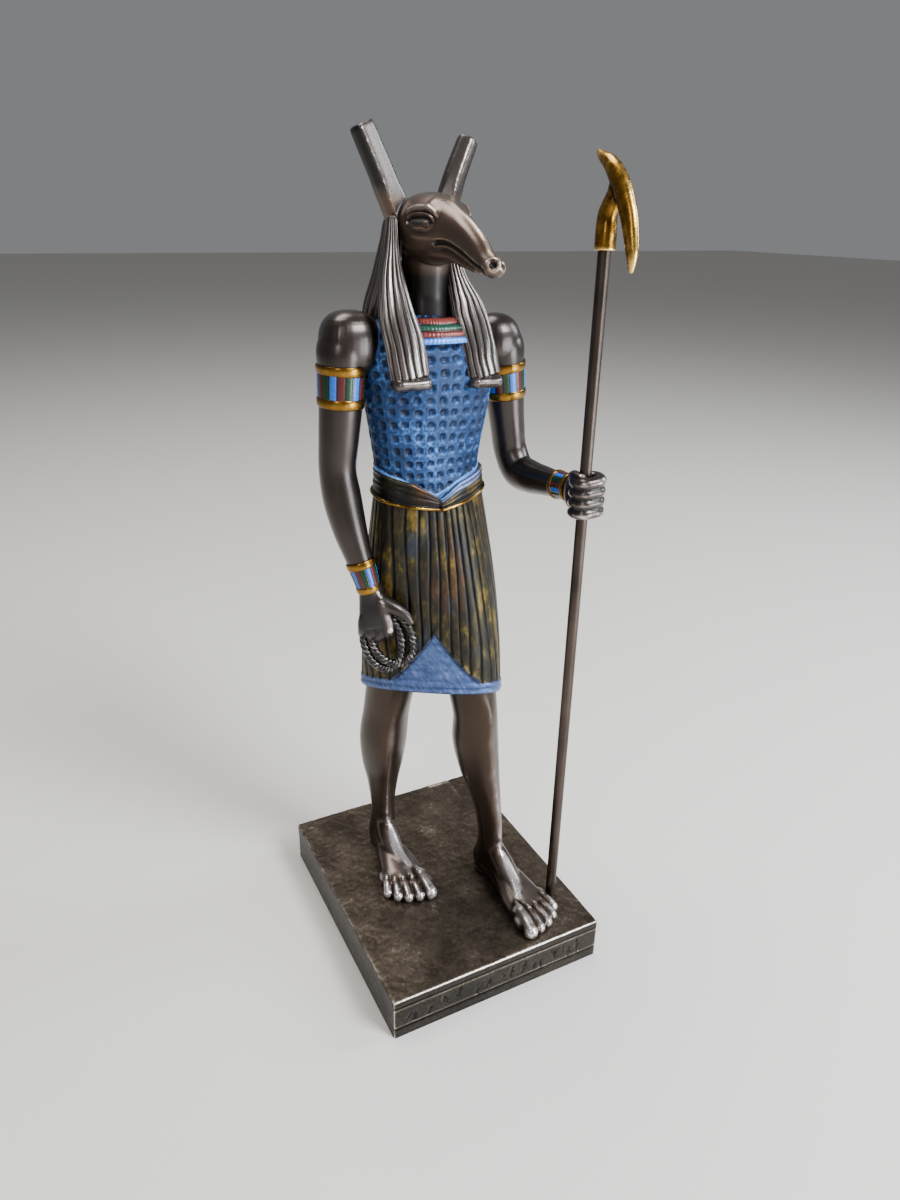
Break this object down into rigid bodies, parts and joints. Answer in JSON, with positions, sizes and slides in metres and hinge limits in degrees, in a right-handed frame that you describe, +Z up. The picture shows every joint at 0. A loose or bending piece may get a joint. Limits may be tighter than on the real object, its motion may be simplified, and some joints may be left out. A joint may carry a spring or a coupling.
{
  "type": "seth statue",
  "caption": "Striding animal-headed figurine in a kilt, with tall square ears, a rope coil in one hand and a staff in the other, on an oblong plinth.",
  "frame": {"origin": "centre of the plinth's underside, on the surface the statue stands on", "axes": "+Z up through the figure; -Y is the way the figure faces, so +X is on its left-hand side, the side of the staff"},
  "size_m": [0.09, 0.1106, 0.3024],
  "materials": {
    "plinth_bronze": "dark cold-cast bronze, rough on top and rubbed bright along the edges",
    "cold_cast_bronze": "burnished cold-cast bronze with hand-painted blue, red, green and gold details",
    "rod_bronze": "thin rod with a dark satin bronze finish",
    "old_gold": "cast resin in antique gold with dark hollows"
  },
  "bodies": {
    "root": {"plinth": "plinth_bronze", "figure": "cold_cast_bronze", "staff_rod": "rod_bronze", "staff_head": "old_gold"}
  },
  "joints": []
}
